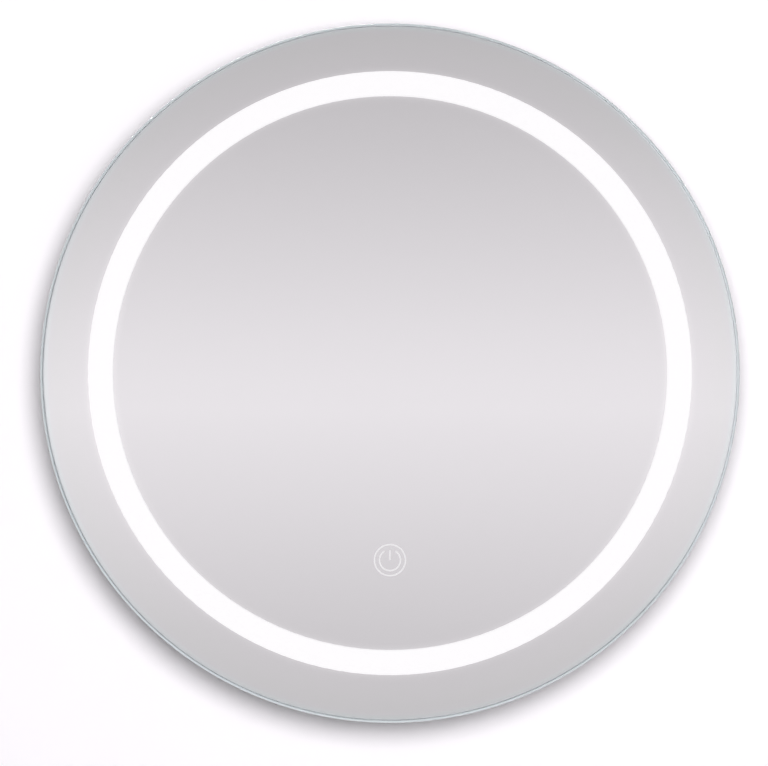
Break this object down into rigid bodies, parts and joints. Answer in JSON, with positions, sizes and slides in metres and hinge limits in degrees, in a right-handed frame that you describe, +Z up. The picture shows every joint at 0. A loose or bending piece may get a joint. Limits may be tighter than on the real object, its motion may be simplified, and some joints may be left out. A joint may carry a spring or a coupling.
{
  "type": "lighted wall mirror",
  "caption": "Round frameless wall mirror with a lit frosted band, a touch mark for its light and a shallow rear case that hooks onto a wall frame.",
  "frame": {"origin": "the middle of the four wall screws, on the wall plane, straight behind the centre of the mirror", "axes": "+Z up, +X to the right as seen from the room, +Y into the wall, so the glass faces -Y"},
  "size_m": [0.6, 0.0462, 0.6],
  "materials": {
    "float_glass": "polished",
    "mirror_silver": "bright",
    "edge_lacquer": "satin",
    "lit_frost": "sandblasted and lit",
    "lit_etch": "etched and lit",
    "foam_tape": "matt",
    "silicone": "satin",
    "anodised_aluminium": "satin anodised",
    "white_aluminium": "satin white",
    "rivet_aluminium": "bright",
    "galvanised_steel": "spangled zinc",
    "zinc_screws": "bright zinc",
    "strip_board": "white solder mask",
    "led_package": "phosphor gel",
    "chip_black": "matt",
    "white_plastic": "fine moulded",
    "grey_plastic": "fine moulded",
    "circuit_board": "green solder mask",
    "winding_tape": "polyester tape",
    "capacitor_sleeve": "shrink sleeve",
    "copper": "bare copper",
    "lead_sheath": "soft white sheath",
    "earth_sheath": "green and yellow sheath",
    "nylon": "natural nylon",
    "brass": "turned",
    "tinned_copper": "tinned",
    "black_rubber": "matt",
    "milky_acrylic": "milky",
    "black_steel": "fine powder coat"
  },
  "bodies": {
    "mirror": {"mirror_glass": "float_glass", "mirror_silvering": "mirror_silver", "edge_seal": "edge_lacquer", "frosted_band": "lit_frost", "touch_mark": "lit_etch", "bonding_tape": "foam_tape", "silicone_bead": "silicone", "frame_ring": "anodised_aluminium", "front_flange": "anodised_aluminium", "frame_joiner": "anodised_aluminium", "joiner_rivets": "rivet_aluminium", "back_plate": "galvanised_steel", "plate_gasket": "foam_tape", "plate_screws": "zinc_screws", "light_baffle": "white_aluminium", "baffle_rivets": "rivet_aluminium", "led_strip": "strip_board", "led_chips": "led_package", "strip_resistors": "chip_black", "strip_connector": "white_plastic", "strip_lead": "lead_sheath", "driver_case": "grey_plastic", "driver_lid": "grey_plastic", "driver_board": "circuit_board", "driver_transformer": "winding_tape", "driver_capacitors": "capacitor_sleeve", "driver_choke": "copper", "driver_screws": "zinc_screws", "driver_input_lead": "lead_sheath", "driver_output_lead": "lead_sheath", "lead_clips": "white_plastic", "wiring_box": "white_plastic", "terminal_block": "nylon", "terminal_inserts": "brass", "terminal_screws": "zinc_screws", "terminal_cover": "galvanised_steel", "cover_screws": "zinc_screws", "cable_grommet": "black_rubber", "cord_clamp": "nylon", "clamp_screws": "zinc_screws", "earth_lead": "earth_sheath", "earth_tag": "tinned_copper", "earth_screw": "brass", "earth_nut": "brass", "touch_diffuser": "milky_acrylic", "touch_electrode": "copper", "touch_contact": "brass", "touch_case": "white_plastic", "touch_lid": "white_plastic", "touch_circuit": "circuit_board", "hanging_rail": "anodised_aluminium", "rail_rivets": "rivet_aluminium", "wall_bumpers": "black_rubber", "bumper_screws": "zinc_screws"},
    "wall_hook": {"wall_frame": "black_steel"}
  },
  "joints": [
    {"name": "mirror_lift", "type": "slide", "parent": "wall_hook", "child": "mirror", "axis": [0, 0, 1], "range_m": [0, 0.016]}
  ]
}
